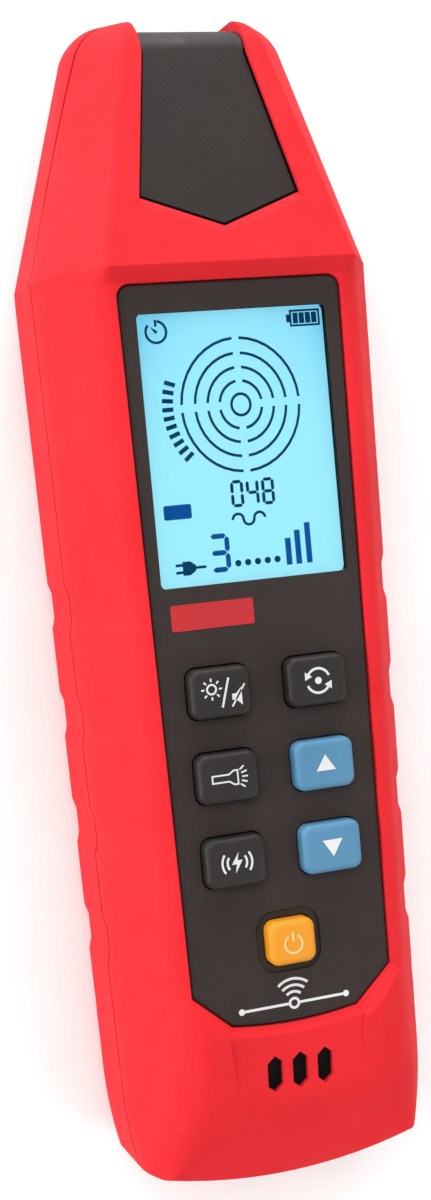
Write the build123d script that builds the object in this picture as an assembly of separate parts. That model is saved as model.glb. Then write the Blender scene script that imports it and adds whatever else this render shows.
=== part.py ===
from build123d import *
from functools import cache
from math import radians, sin, sqrt, tan
import os

# Hand-held wire detector lying on its back: back on Z = 0, head towards +Y, face up.
# All sizes are in millimetres.

# Case, outside
length = 198.0
shoulder_width = 59.4
lower_width = 54.4
face_height = 33.4
hip_height = 21.3
hip_reach = 3.0
seam_height = 17.7
back_radius = 6.0
shoulder_face_width = 44.4
lower_face_width = 39.6
crease_radius = 4.0
sharp_radius = 1.5
least_radius = 0.4
radius_share = 0.8
reach_share = 0.5

# Head
head_length = 43.2
step_run = 2.0
step_rise = 2.1
crest_bevel = 0.5
crest_face_width = 43.1
tip_radius = 5.0
tip_edge_radius = 6.0
tip_back_radius = 5.0
tip_width = 38.8
tip_face_width = 24.6
tip_face_drop = 9.9
tip_face_share = 0.35
tip_hip_height = 16.2
tip_back_lift = 5.4
tip_steps = 6

# Bottom end and chin
end_radius = 92.0
end_edge_radius = 2.0
curve_length = 18.4
curve_radius = 75.0
low_steps = 9
end_spare = 2.0
chin_crease_radius = 8.0
crown_reach = 11.0
end_clear = 0.12
chin_slope = 0.15
chin_rise = 1.2
chin_run = 14.9
chin_soft_radius = 14.0
valley_height = 2.4
chin_ramp = 2.5
ramp_drop = 0.25
end_fall = 6.8
valley_margin = 0.8
valley_slant = 1.9
tongue_half_top = 12.2
tongue_half_low = 11.0
tongue_length = 12.5
tongue_depth = 0.55

# Walls, seam and grips
wall = 2.2
front_wall = 4.3
tip_wall = 5.6
seam_groove = 0.5
seam_depth = 0.6
grip_count = 4
grip_height = 8.0
grip_pitch = 19.05
grip_depth = 0.55
grip_slope = 1.8
grip_drop = 50.0

# Face panel
panel_gap = 0.3
panel_top_width = 38.6
panel_low_width = 35.4
panel_bottom_width = 22.4
panel_length = 123.0
panel_chamfer = 5.9
panel_sag = 0.9
panel_corner = 2.0
panel_thickness = 1.5
panel_recess = 0.4
panel_fit = 0.25
panel_edge = 0.25

# Display
window_width = 32.9
window_length = 44.8
window_drop = 4.7
window_corner = 0.9
lens_fit = 0.1
lens_sink = 0.05
lens_flange = 1.3
lens_flange_thickness = 0.6
deck_reveal = 0.6
glass_fit = 0.2
glass_thickness = 2.2
glass_gap = 0.1
guide_thickness = 1.6
frame_wall = 1.3
frame_fit = 0.1
strip_width = 2.0
strip_fit = 0.1
strip_length = 28.0

# Keys
key_width = 10.6
key_height = 8.4
power_width = 8.3
power_height = 7.5
key_corner = 1.7
key_top_edge = 1.1
key_proud = 2.3
key_fit = 0.25
key_flange = 1.0
key_flange_thickness = 0.9
key_seat_gap = 0.05
key_column = 8.55
key_rows = 3
key_first_drop = 17.7
key_pitch = 14.1
power_drop = 14.8
key_travel = 0.7
key_stop_gap = 0.1
pill_inset = 1.6
well_margin = 1.5
well_depth = 0.35
mat_thickness = 0.8
mat_margin = 2.4
mat_fit = 0.5
pad_thickness = 0.08

# Speaker behind the chin
slot_count = 3
slot_pitch = 4.5
slot_width = 2.8
slot_length = 6.4
slot_tip = 1.2
slot_drop = 9.4
speaker_radius = 8.0
speaker_height = 5.4
speaker_seat = 2.8
speaker_fit = 0.2
cloth_thickness = 0.4
magnet_radius = 4.5
magnet_height = 1.6

# Board
board_gap = 2.6
board_thickness = 1.6
board_half_width = 18.2
board_head_reach = 6.6
board_low_reach = 2.9
post_radius = 2.2
post_x = 15.5
post_upper_inset = 4.5
post_middle_drop = 7.1
post_low_x = 13.5
post_low_inset = 4.0
board_screw_radius = 0.9
board_screw_grip = 2.2
board_head_radius = 1.7
board_head_height = 1.1
chip_thickness = 1.5
chip_side = 10.0
chip_small_width = 5.0
chip_small_length = 6.5
chip_rows = 3
chip_pitch = 22.0

# Case screws
screw_inset = 6.2
screw_upper_drop = 12.4
screw_low_rise = 32.0
screw_radius = 1.3
screw_hole_fit = 0.2
screw_bite_fit = 0.05
screw_head_radius = 2.2
screw_head_height = 1.8
screw_seat_height = 10.0
screw_length = 14.0
pillar_radius = 3.3
pillar_skin = 1.2
counterbore_fit = 0.25

# Head cap and torch
cap_recess = 0.9
cap_tip_recess = 2.1
cap_wall = 1.9
cap_fit = 0.2
cap_floor_gap = 0.1
cap_apex_drop = 36.7
cap_corner_drop = 31.4
cap_corner_half = 14.0
cap_side_drop = 6.8
cap_tip_half = 9.3
cap_back_reach = 19.6
vee_bevel = 1.6
vee_start = 0.02
lens_radius = 3.4
lens_bore_fit = 0.1
lamp_radius = 2.5
lamp_fit = 0.15
lamp_flange_radius = 3.1
lamp_flange_thickness = 1.0
lamp_length = 7.6
lamp_reach = 1.0

# Sensor coil and field plate
coil_rise = 20.0
coil_gap = 0.3
rod_radius = 4.0
rod_length = 32.0
rod_fit = 0.1
bobbin_wall = 0.8
bobbin_half = 12.0
bobbin_flange = 12.0
bobbin_flange_thickness = 1.6
winding_thickness = 1.0
winding_gap = 0.1
coil_post_width = 6.0
coil_post_skin = 0.6
plate_thickness = 0.4
plate_half_width = 8.0
plate_length = 14.0
plate_rise = 20.0
plate_gap = 0.1

# Battery bay and door
cell_radius = 5.25
cell_length = 44.5
cell_nub_radius = 1.9
cell_nub = 1.0
cell_count = 3
cell_pitch = 11.0
cell_gap = 0.3
contact_plate = 0.5
contact_side = 7.0
contact_bow = 2.4
contact_button = 0.8
contact_button_radius = 2.4
contact_gap = 0.1
bay_rise = 13.0
bay_wall = 1.6
bay_side_gap = 0.35
door_thickness = 2.0
door_inset = 0.3
door_fit = 0.2
door_half_width = 17.2
tongue_reach = 1.0
tongue_thickness = 0.9
door_lap = 1.0
rail_width = 1.6
rail_height = 5.0
door_rib_count = 4
door_rib_pitch = 2.6
door_rib_width = 1.2
door_rib_depth = 0.6
door_rib_half = 9.0
door_rib_rise = 17.0
label_width = 36.0
label_length = 44.0
label_depth = 0.3
label_drop = 14.0

# Room past the case for cutting bodies
spare = 12.0

# Places along the case
y_top = length / 2
y_bottom = -length / 2
y_crest = y_top - head_length
y_foot = y_crest - step_run
y_tip = y_top - tip_radius
y_curve = y_bottom + curve_length
y_panel_top = y_foot - panel_gap
y_panel_low = y_panel_top - panel_length
y_panel_taper = y_panel_low + panel_chamfer
y_valley = y_panel_low - panel_sag - valley_margin
y_axis = y_bottom + end_radius
crest_radius = y_axis - y_valley
turn_radius = crest_radius + chin_run
turn_fall = end_fall / (end_radius - turn_radius) - chin_slope
turn_ease = chin_soft_radius * turn_fall / 2
y_ramp = y_panel_taper - ramp_drop
y_slots = y_panel_low - slot_drop
y_window = y_panel_top - window_drop - window_length / 2
y_keys = y_window - window_length / 2 - key_first_drop
y_power = y_keys - (key_rows - 1) * key_pitch - power_drop
y_coil = y_crest + coil_rise
y_cap_corner = y_top - cap_corner_drop
y_cap_apex = y_top - cap_apex_drop

# Levels above the back
z_crest = face_height + step_rise + crest_bevel
z_panel = face_height - panel_recess
z_deck = z_panel - panel_thickness
z_under = face_height - front_wall
z_board = z_under - board_gap
z_tip_face = z_crest - tip_face_drop
z_lamp = (z_tip_face + tip_back_lift) / 2
z_pad = tip_back_lift + front_wall
z_coil = z_pad + coil_gap + bobbin_flange / 2


def along(y, y0, v0, y1, v1):
    return v0 + (v1 - v0) * (y - y0) / (y1 - y0)


# How far a round edge has fallen back at a reach past where it begins.
def round_off(reach, radius):
    reach = min(max(reach, 0.0), radius)
    return radius - sqrt(radius * radius - reach * reach)


def half_width(y):
    half = along(y, y_foot, shoulder_width / 2, y_curve, lower_width / 2)
    return half - round_off(y_curve - y, curve_radius)


def face_half(y):
    half = along(y, y_foot, shoulder_face_width / 2, y_curve, lower_face_width / 2)
    return half - round_off(y_curve - y, curve_radius)


def side_lean(y):
    return (half_width(y) - face_half(y)) / (face_height - hip_height)


# Tangent of half the angle that the leaning wall makes with the upright one.
def half_turn(lean):
    return (sqrt(1 + lean * lean) - 1) / lean


def chin_height(radius):
    return face_height + chin_rise - chin_slope * (radius - crest_radius)


# Height of the lower end at a distance from the axis of its round end, past a soft turn below the chin.
def end_height(radius):
    past = radius - turn_radius
    if past >= turn_ease:
        return chin_height(radius) - turn_fall * past
    if past > -turn_ease:
        return chin_height(radius) - turn_fall * (past + turn_ease) ** 2 / (4 * turn_ease)
    return chin_height(radius)


def block(x0, x1, y0, y1, z0, z1):
    size = Box(x1 - x0, y1 - y0, z1 - z0)
    return Pos((x0 + x1) / 2, (y0 + y1) / 2, (z0 + z1) / 2) * size


def post(x, y, z0, z1, radius):
    return Pos(x, y, (z0 + z1) / 2) * Cylinder(radius, z1 - z0)


def plate(sketch, z0, z1):
    return extrude(Pos(0, 0, z0) * sketch, z1 - z0)


def mirrored(shape):
    return shape + mirror(shape, Plane.YZ)


# Closed outline from corners (x, y, radius), with round corners as tangent arcs.
def outline(corners):
    spans = []
    for i, (x, y, radius) in enumerate(corners):
        corner = Vector(x, y)
        if radius == 0:
            spans.append((corner, None, corner))
            continue
        before = (Vector(*corners[i - 1][:2]) - corner).normalized()
        after = (Vector(*corners[(i + 1) % len(corners)][:2]) - corner).normalized()
        half = radians(before.get_angle(after)) / 2
        reach = radius / tan(half)
        middle = corner + (before + after).normalized() * (radius / sin(half) - radius)
        spans.append((corner + before * reach, middle, corner + after * reach))
    edges = []
    for i, (start, middle, end) in enumerate(spans):
        if middle is not None:
            edges.append(ThreePointArc(start, middle, end))
        edges.append(Line(end, spans[(i + 1) % len(spans)][0]))
    return make_face(edges)


def upright(x, y):
    return Plane(origin=(x, y, 0), x_dir=(1, 0, 0), z_dir=(0, -1, 0))


# One cross-section of the case, drawn in by side at walls and back and by depth at the face.
# A crown rounds the face up by that much towards its middle.
def section(y, half, face, hip, height, radius, lift, side, depth, crown=0.0):
    lean = (half - face) / (height - hip)
    wide = half - side
    low_hip = hip - side * half_turn(lean)
    top = height - depth
    back = lift + side
    low_radius = max(min(back_radius - side, radius_share * (low_hip - back)), least_radius)
    inner = wide - (top - low_hip) * lean
    upright_run = radius_share * (low_hip - back - low_radius)
    reach = min(hip_reach, upright_run, reach_share * (top - low_hip))
    turn = half_turn(lean)
    hip_radius = reach / turn
    leaning_run = (top - low_hip) * sqrt(1 + lean * lean) - reach
    high_limit = radius_share * leaning_run * (1 + turn) / (1 - turn)
    high_radius = max(min(radius - side, high_limit), least_radius)
    right = [(wide, back, low_radius), (wide, low_hip, hip_radius), (inner, top, high_radius)]
    left = [(-x, z, r) for x, z, r in reversed(right)]
    if crown:
        slope = crown / (inner - crown_reach / 2)
        right.append((0, top + slope * inner, crown_reach / slope))
    return upright(0, y) * outline(right + left)


# A section of the body, with the flanks pressed in by dip where a finger groove crosses it.
def body_section(y, side, depth, dip):
    half = half_width(y)
    return section(y, half - dip, face_half(y), hip_height, face_height, crease_radius, 0.0, side, depth)


# Places and depths where the flanks bend in and out at the finger grooves, from the lowest up.
def groove_bends():
    bends = []
    for i in reversed(range(grip_count)):
        high = y_crest - grip_drop - i * grip_pitch
        low = high - grip_height
        bends += [(low, 0.0), (low + grip_slope, grip_depth), (high - grip_slope, grip_depth), (high, 0.0)]
    return bends


# A section of the lower end, level with the body's face where flat, else crowned as the chin is.
def chin_section(y, radius, side, depth, flat):
    half = half_width(y)
    edge = face_half(y)
    height = end_height(sqrt(edge ** 2 + (y_axis - y) ** 2))
    crown = end_height(y_axis - y) - height
    if flat:
        height = face_height
    face = half - side_lean(y) * (height - hip_height)
    return section(y, half, face, hip_height, height, radius, 0.0, side, depth, crown)


# Places of the sections from a start to past the bottom end.
def places_down(start):
    step = (start - y_bottom + end_spare) / low_steps
    return [start - i * step for i in range(low_steps + 1)]


def chin_loft(side, depth):
    places = places_down(y_ramp - chin_ramp)
    low = [chin_section(y, chin_crease_radius, side, depth, False) for y in places]
    ramp = [chin_section(y_ramp, crease_radius, side, depth, True), low[0]]
    return loft(ramp, ruled=True) + loft(low)


# The body as a stack of sections; deeper than the seam its flanks run straight past the grooves.
def body_loft(side, depth, with_chin):
    if with_chin:
        y_low = y_ramp
        low = chin_loft(side, depth)
    else:
        y_low = y_curve
        low = loft([body_section(y, side, depth, 0.0) for y in places_down(y_low)])
    bends = groove_bends() if side <= seam_depth else []
    bends = [(y_low, 0.0)] + bends + [(y_foot, 0.0)]
    spans = [body_section(y, side, depth, dip) for y, dip in bends]
    half = shoulder_width / 2
    face = crest_face_width / 2
    for y, rise in ((y_crest, step_rise), (y_crest + crest_bevel, step_rise + crest_bevel)):
        height = face_height + rise
        spans.append(section(y, half, face, hip_height, height, sharp_radius, 0.0, side, depth))
    return low + loft(spans, ruled=True)


# Radius of a round edge of the head's tip on a case drawn in by tip.
def tip_round(radius, tip):
    return max(radius - tip, least_radius)


def tip_fall(y, radius, tip):
    radius = tip_round(radius, tip)
    return round_off(y - y_top + tip + radius, radius)


def head_section(y, side, depth, tip):
    y0 = y_crest + crest_bevel
    narrow = tip_fall(y, tip_radius, tip)
    half = along(y, y0, shoulder_width / 2, y_tip, tip_width / 2) - narrow
    face = along(y, y0, crest_face_width / 2, y_tip, tip_face_width / 2) - tip_face_share * narrow
    hip = along(y, y0, hip_height, y_tip, tip_hip_height)
    height = along(y, y0, z_crest, y_tip, z_tip_face) - tip_fall(y, tip_edge_radius, tip)
    lift = along(y, y0, 0.0, y_tip, tip_back_lift) + tip_fall(y, tip_back_radius, tip)
    return section(y, half, face, hip, height, sharp_radius, lift, side, depth)


def head_loft(side, depth, tip):
    reach = max(tip_round(radius, tip) for radius in (tip_radius, tip_edge_radius, tip_back_radius))
    y_start = y_top - tip - reach
    ends = []
    for i in range(tip_steps + 1):
        angle = radians(90.0 * i / tip_steps)
        ends.append(head_section(y_start + reach * sin(angle), side, depth, tip))
    main = loft([head_section(y_crest + crest_bevel, side, depth, tip), ends[0]])
    return main + loft(ends)


# Round bottom end below a gently sloping chin, turned about an upright axis.
def end_form(side, depth):
    radius = end_radius - side
    low = max(back_radius - side, least_radius)
    high = max(end_edge_radius - side, least_radius)
    turn_height = chin_height(turn_radius) - depth
    edge = along(radius, turn_radius, turn_height, end_radius, turn_height - end_fall)
    peak = chin_height(0.0) - depth
    corners = [(0, side, 0), (radius, side, low), (radius, edge, high)]
    corners += [(turn_radius, turn_height, chin_soft_radius), (0, peak, 0)]
    return revolve(upright(0, y_axis) * outline(corners), Axis((0, y_axis, 0), (0, 0, 1)))


# The case as one solid, drawn in at its sides, face and head tip.
@cache
def hull(side=0.0, depth=0.0, tip=0.0, with_chin=True):
    solid = body_loft(side, depth, with_chin) + head_loft(side, depth, tip)
    wide = shoulder_width
    y_low = y_bottom - 2 * spare
    tall = 2 * face_height
    clear = end_clear if with_chin else 0.0
    return solid - (block(-wide, wide, y_low, y_ramp, -spare, tall) - end_form(side, depth - clear))


def flipped(point):
    return (-point[0], point[1])


def panel_outline(grow=0.0):
    top = (panel_top_width / 2, y_panel_top)
    taper = (panel_low_width / 2, y_panel_taper)
    low = (panel_bottom_width / 2, y_panel_low)
    edges = [Line(flipped(top), top), Line(top, taper), Line(taper, low)]
    edges.append(ThreePointArc(low, (0, y_panel_low - panel_sag), flipped(low)))
    edges += [Line(flipped(low), flipped(taper)), Line(flipped(taper), flipped(top))]
    face = make_face(edges)
    if grow:
        face = offset(face, grow, kind=Kind.INTERSECTION)
    return fillet(face.vertices().group_by(Axis.Y)[-1], panel_corner + max(grow, 0.0))


def window_outline(grow):
    corner = max(window_corner + grow, least_radius)
    size = RectangleRounded(window_width + 2 * grow, window_length + 2 * grow, corner)
    return Pos(0, y_window) * size


# Key name, centre and size
left_x = -key_column
right_x = key_column
rows = [y_keys - i * key_pitch for i in range(key_rows)]
keys = {
    "light_key": (left_x, rows[0], key_width, key_height),
    "torch_key": (left_x, rows[1], key_width, key_height),
    "sense_key": (left_x, rows[2], key_width, key_height),
    "mode_key": (right_x, rows[0], key_width, key_height),
    "up_key": (right_x, rows[1], key_width, key_height),
    "down_key": (right_x, rows[2], key_width, key_height),
    "power_key": (0.0, y_power, power_width, power_height),
}


def key_outline(name, grow):
    x, y, wide, high = keys[name]
    corner = max(key_corner + grow, least_radius)
    return Pos(x, y) * RectangleRounded(wide + 2 * grow, high + 2 * grow, corner)


z_flange = z_under - key_seat_gap
z_flange_low = z_flange - key_flange_thickness
z_pill = z_board + pad_thickness + key_stop_gap + key_travel


def key(name):
    cap = plate(key_outline(name, 0.0), z_flange_low, z_panel + key_proud)
    cap = fillet(cap.edges().group_by(Axis.Z)[-1], key_top_edge)
    flange = plate(key_outline(name, key_flange), z_flange_low, z_flange)
    pill = plate(key_outline(name, -pill_inset), z_pill, z_flange_low)
    return cap + flange + pill


def keypad_mat():
    edge_x = key_column + key_width / 2 + mat_margin
    y_high = y_keys + key_height / 2 + mat_margin
    y_low = y_power - power_height / 2 - mat_margin
    mat = block(-edge_x, edge_x, y_low, y_high, z_board, z_board + mat_thickness)
    for name in keys:
        mat -= plate(key_outline(name, mat_fit - pill_inset), z_board, z_under)
    for x, y in board_posts():
        mat -= post(x, y, z_board, z_under, post_radius + mat_fit)
    return mat


def key_contacts():
    pads = [plate(key_outline(name, -pill_inset), z_board, z_board + pad_thickness) for name in keys]
    return Compound(children=[pad.solid() for pad in pads])


# Face panel and display

def face_panel():
    panel = plate(panel_outline(), z_deck, z_panel)
    panel = chamfer(panel.faces().sort_by(Axis.Z)[-1].edges(), panel_edge)
    panel -= plate(window_outline(0.0), z_deck, z_panel)
    z_rebate = z_deck + lens_flange_thickness + lens_fit
    panel -= plate(window_outline(lens_flange + lens_fit), z_deck, z_rebate)
    panel -= plate(key_outline("power_key", well_margin), z_panel - well_depth, z_panel)
    for name in keys:
        panel -= plate(key_outline(name, key_fit), z_deck, z_panel)
    return panel


def display_lens():
    flange = plate(window_outline(lens_flange), z_deck, z_deck + lens_flange_thickness)
    return flange + plate(window_outline(-lens_fit), z_deck, z_panel - lens_sink)


glass_grow = deck_reveal - glass_fit
z_glass = z_deck - glass_gap
z_guide = z_glass - glass_thickness
y_glass_low = y_window - window_length / 2 - glass_grow
y_strip = y_glass_low + strip_fit


def display_glass():
    return plate(window_outline(glass_grow), z_guide, z_glass)


def display_guide():
    guide = plate(window_outline(glass_grow), z_guide - guide_thickness, z_guide)
    edge = y_strip + strip_width + strip_fit
    return guide - block(-shoulder_width, shoulder_width, y_bottom, edge, 0, z_crest)


def strip_block(grow):
    half = strip_length / 2 + grow
    return block(-half, half, y_strip - grow, y_strip + strip_width + grow, z_board, z_guide)


def display_frame():
    frame = plate(window_outline(glass_grow + frame_wall), z_board, z_under - frame_fit)
    frame -= plate(window_outline(glass_grow + frame_fit), z_guide - guide_thickness, z_under)
    return frame - strip_block(strip_fit)


# Board and what is on it

y_board_top = y_crest + board_head_reach
y_board_low = y_panel_low + board_low_reach


def board_posts():
    y_middle = y_window - window_length / 2 - post_middle_drop
    places = [(post_x, y_board_top - post_upper_inset), (post_x, y_middle)]
    places.append((post_low_x, y_board_low + post_low_inset))
    return [(side * x, y) for x, y in places for side in (-1, 1)]


def main_board():
    half = board_half_width
    board = block(-half, half, y_board_low, y_board_top, z_board - board_thickness, z_board)
    board = chamfer(board.edges().filter_by(Axis.Z), post_radius)
    for x, y in board_posts():
        board -= post(x, y, 0, z_crest, board_screw_radius + screw_hole_fit)
    return board


def board_screw(x, y):
    seat = z_board - board_thickness
    shank = post(x, y, seat, z_board + board_screw_grip, board_screw_radius)
    return shank + post(x, y, seat - board_head_height, seat, board_head_radius)


def board_chips():
    low = z_board - board_thickness - chip_thickness
    high = z_board - board_thickness
    chips = []
    for i in range(chip_rows):
        y = y_window - i * chip_pitch
        half = chip_side / 2
        chips.append(block(-half, half, y - half, y + half, low, high).solid())
        x = chip_side
        long = chip_small_length / 2
        chips.append(block(x, x + chip_small_width, y - long, y + long, low, high).solid())
    return Compound(children=chips)


# Speaker under the chin, square to the slope of the chin

slot_radius = y_axis - y_slots
chin_plane = Plane(
    origin=(0, y_slots, chin_height(slot_radius) - front_wall),
    x_dir=(1, 0, 0),
    z_dir=(0, -chin_slope, 1),
)


def slot_outlines():
    half = slot_width / 2
    reach = slot_length / 2
    shoulder = reach - slot_tip
    points = [(0, reach, 0), (half, shoulder, 0), (half, -shoulder, 0)]
    points += [(-x, -y, 0) for x, y, r in points]
    first = -(slot_count - 1) / 2 * slot_pitch
    return [Pos(first + i * slot_pitch, y_slots) * outline(points) for i in range(slot_count)]


def chin_disc(radius, z0, z1):
    return chin_plane * Pos(0, 0, (z0 + z1) / 2) * Cylinder(radius, z1 - z0)


def speaker_cloth():
    return chin_disc(speaker_radius, speaker_seat - cloth_thickness, speaker_seat)


def speaker():
    top = speaker_seat - cloth_thickness
    low = top - speaker_height + magnet_height
    return chin_disc(speaker_radius, low, top) + chin_disc(magnet_radius, low - magnet_height, low)


# Head cap, torch and sensors

head_slope = tip_face_drop / (y_tip - y_crest - crest_bevel)


def head_height(y):
    return z_crest - head_slope * (y - y_crest - crest_bevel)


def cap_outline(grow):
    right = [(cap_corner_half, y_cap_corner, 0), (cap_tip_half, y_top - cap_side_drop, 0)]
    right.append((cap_tip_half, y_top + spare, 0))
    left = [(-x, y, r) for x, y, r in reversed(right)]
    face = outline([(0, y_cap_apex, 0)] + right + left)
    return offset(face, grow, kind=Kind.INTERSECTION) if grow else face


# Room that the cap takes: a pointed apron in front, over the end and a strip behind.
def cap_room(grow):
    front = plate(cap_outline(grow), z_lamp, z_crest + spare)
    half = cap_tip_half + grow
    y_low = y_top - cap_back_reach - grow
    return front + block(-half, half, y_low, y_top + spare, -spare, z_lamp)


def drawn_hull(depth):
    return hull(depth, depth, depth)


# The head drawn in to the face of the cap, and further by depth.
@cache
def cap_hull(depth):
    return head_loft(cap_recess + depth, cap_recess + depth, cap_tip_recess + depth)


y_cap_floor = y_top - cap_tip_recess - cap_wall


def head_cap():
    cap = (cap_hull(0.0) & cap_room(-cap_fit)) - cap_hull(cap_wall)
    return cap - torch_bore(lens_radius + lens_bore_fit, y_cap_floor - spare)


def rod(radius, y0, y1):
    return Pos(0, (y0 + y1) / 2, z_lamp) * Rot(90, 0, 0) * Cylinder(radius, y1 - y0)


def torch_bore(radius, y0):
    return rod(radius, y0, y_top + spare)


def torch_lens():
    return rod(lens_radius, y_cap_floor, y_top) & cap_hull(0.0)


def torch_lamp():
    y_wall = y_top - tip_wall
    y_nose = y_wall + lamp_reach
    lamp = rod(lamp_radius, y_nose - lamp_length, y_nose)
    flange = rod(lamp_flange_radius, y_wall - lamp_flange_thickness, y_wall)
    return lamp + flange


# Slanted walls along the two lower edges of the cap's pocket.
def vee_form():
    rise = (y_cap_corner - y_cap_apex) * sqrt(1 + head_slope * head_slope)
    half = cap_corner_half
    levels = []
    for height in (vee_start, 2 * cap_recess):
        drop = height * vee_bevel / cap_recess * sqrt(1 + (rise / half) ** 2)
        right = [(half, rise - drop, 0), (half, rise, 0)]
        left = [(-x, y, r) for x, y, r in reversed(right)]
        apex = (0, -drop, 0)
        origin = (0, y_cap_apex, head_height(y_cap_apex) - cap_recess)
        plane = Plane(origin=origin, x_dir=(1, 0, 0), z_dir=(0, head_slope, 1))
        levels.append(plane * Pos(0, 0, height) * outline([apex] + right + left))
    return loft(levels, ruled=True)


def along_x(radius, half):
    return Pos(0, y_coil, z_coil) * Rot(0, 90, 0) * Cylinder(radius, 2 * half)


tube_radius = rod_radius + rod_fit + bobbin_wall
winding_inner = tube_radius + winding_gap
winding_half = bobbin_half - bobbin_flange_thickness - winding_gap


def ferrite_rod():
    return along_x(rod_radius, rod_length / 2)


def coil_bobbin():
    half = bobbin_flange / 2
    bobbin = along_x(tube_radius, bobbin_half)
    inner = bobbin_half - bobbin_flange_thickness
    low = z_coil - half
    flange = block(inner, bobbin_half, y_coil - half, y_coil + half, low, z_coil + half)
    return bobbin + mirrored(flange) - along_x(rod_radius + rod_fit, bobbin_half)


def coil_winding():
    return along_x(winding_inner + winding_thickness, winding_half) - along_x(winding_inner, winding_half)


def coil_posts():
    inner = bobbin_half - bobbin_flange_thickness
    half = coil_post_width / 2
    top = z_coil - bobbin_flange / 2
    return mirrored(block(inner, bobbin_half, y_coil - half, y_coil + half, 0, top))


def field_plate():
    y0 = y_crest + plate_rise
    y1 = y0 + plate_length
    z0 = head_height(y0) - front_wall - plate_gap
    z1 = head_height(y1) - front_wall - plate_gap
    corners = [(y0, z0, 0), (y1, z1, 0), (y1, z1 - plate_thickness, 0), (y0, z0 - plate_thickness, 0)]
    side = Plane(origin=(-plate_half_width, 0, 0), x_dir=(0, 1, 0), z_dir=(1, 0, 0))
    return extrude(side * outline(corners), 2 * plate_half_width)


# Case screws

def case_screws_at():
    places = (y_crest - screw_upper_drop, y_bottom + screw_low_rise)
    return [(side * (half_width(y) - screw_inset), y) for y in places for side in (-1, 1)]


def case_screw(x, y):
    seat = screw_seat_height
    shank = post(x, y, seat, seat + screw_length, screw_radius)
    return shank + post(x, y, seat - screw_head_height, seat, screw_head_radius)


# Battery bay, from the lower end up

y_bay_low = y_bottom + bay_rise
flat_end = contact_plate + contact_bow + contact_gap
nub_end = contact_plate + contact_button + contact_gap
y_bay_high = y_bay_low + flat_end + cell_length + nub_end
y_door_end = y_bay_high + door_lap
z_door = door_inset + door_thickness
z_channel = z_door + door_fit
z_cell = z_channel + cell_gap + cell_radius
z_bay = z_cell + cell_radius + cell_gap
bay_half = (cell_count - 1) / 2 * cell_pitch + cell_radius + bay_side_gap
door_reach = door_half_width + tongue_reach
cell_places = [((i - (cell_count - 1) / 2) * cell_pitch, i % 2 == 0) for i in range(cell_count)]


def spin_y(x, radius, y0, y1):
    return Pos(x, (y0 + y1) / 2, z_cell) * Rot(90, 0, 0) * Cylinder(radius, y1 - y0)


def cell(x, nub_up):
    body = cell_length - cell_nub
    if nub_up:
        y0 = y_bay_low + flat_end
        y1 = y0 + body
        return spin_y(x, cell_radius, y0, y1) + spin_y(x, cell_nub_radius, y1, y1 + cell_nub)
    y1 = y_bay_high - flat_end
    y0 = y1 - body
    return spin_y(x, cell_radius, y0, y1) + spin_y(x, cell_nub_radius, y0 - cell_nub, y0)


# Contact on a bay wall: a plate with a bowed leaf or a raised button.
def contact(x, y_wall, way, bowed):
    half = contact_side / 2
    y_face = y_wall + way * contact_plate
    y0, y1 = sorted((y_wall, y_face))
    base = block(x - half, x + half, y0, y1, z_cell - half, z_cell + half)
    if not bowed:
        y0, y1 = sorted((y_face, y_face + way * contact_button))
        return base + spin_y(x, contact_button_radius, y0, y1)
    inner = half - contact_plate
    peak = y_face + way * contact_bow
    valley = peak - way * contact_plate
    outer = ThreePointArc((y_face, z_cell - half), (peak, z_cell), (y_face, z_cell + half))
    hollow = ThreePointArc((y_face, z_cell + inner), (valley, z_cell), (y_face, z_cell - inner))
    leaf = make_face([outer, Line(outer @ 1, hollow @ 0), hollow, Line(hollow @ 1, outer @ 0)])
    side = Plane(origin=(x - half / 2, 0, 0), x_dir=(0, 1, 0), z_dir=(1, 0, 0))
    return base + extrude(side * leaf, half)


def battery_contacts():
    pieces = []
    for x, nub_up in cell_places:
        pieces.append(contact(x, y_bay_low, 1, nub_up).solid())
        pieces.append(contact(x, y_bay_high, -1, not nub_up).solid())
    return Compound(children=pieces)


def door_form(fit, y_low, y_high, z_low):
    half = door_half_width + fit
    reach = door_reach + fit
    shelf = z_door - tongue_thickness - fit
    form = block(-half, half, y_low, y_high, z_low, z_door + fit)
    return form + block(-reach, reach, y_low, y_high, shelf, z_door + fit)


def battery_door():
    y_low = y_bottom - spare
    door = door_form(0.0, y_low, y_door_end, 0.0) & hull(door_inset, 0.0, 0.0)
    for i in range(door_rib_count):
        y = y_bottom + door_rib_rise + i * door_rib_pitch
        half = door_rib_width / 2
        door -= block(-door_rib_half, door_rib_half, y - half, y + half, 0, door_inset + door_rib_depth)
    return door


def bay_walls():
    y_end = y_door_end + door_fit + bay_wall
    wide = bay_half + bay_wall
    walls = block(-wide, wide, y_bay_low - bay_wall, y_end, 0, z_bay + bay_wall)
    shelf = block(-wide, wide, y_bottom, y_bay_low, 0, z_channel + bay_wall)
    rail = door_reach + door_fit + rail_width
    return walls + shelf + block(-rail, rail, y_bottom, y_end, 0, rail_height)


def bay_room():
    return block(-bay_half, bay_half, y_bay_low, y_bay_high, z_door, z_bay)


# Case halves

def seam_ring():
    half = seam_groove / 2
    wide = shoulder_width
    slab = block(-wide, wide, y_bottom - spare, y_top + spare, seam_height - half, seam_height + half)
    return slab - hull(seam_depth, 0.0, seam_depth)


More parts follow.
